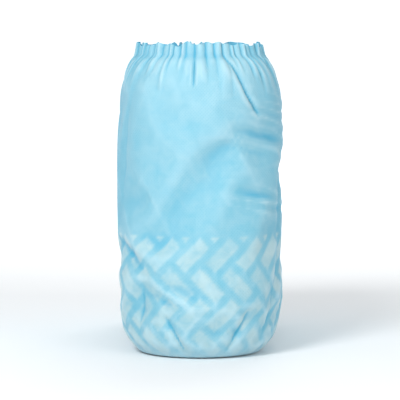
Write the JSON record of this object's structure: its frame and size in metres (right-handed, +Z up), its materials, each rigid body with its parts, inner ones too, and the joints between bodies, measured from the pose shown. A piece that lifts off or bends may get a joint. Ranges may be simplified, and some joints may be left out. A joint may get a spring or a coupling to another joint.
{
  "type": "disposable shoe cover, folded once",
  "caption": "Pleated-mouth overshoe pouch of light blue nonwoven fabric, folded toe to heel and standing on its sole, with an elastic opening on top and welded end seams",
  "frame": {"origin": "middle of the bounding box at the floor the sole stands on", "axes": "+Z up towards the elastic opening, -Y towards the fold at the middle of the cover, +Y towards the toe and heel seams, toe leg on the -X side"},
  "size_m": [0.08, 0.1866, 0.1602],
  "materials": {
    "nonwoven_fabric": "matte spunbond nonwoven, light blue, slightly see-through, with a pale non-skid herringbone printed on the sole and lower sides",
    "elastic": "matte white elastic thread",
    "welded_edge": "pressed and welded nonwoven, a little glossier"
  },
  "bodies": {
    "root": {"cover_body": "nonwoven_fabric", "elastic_band": "elastic", "toe_seam": "welded_edge", "heel_seam": "welded_edge"}
  },
  "joints": []
}
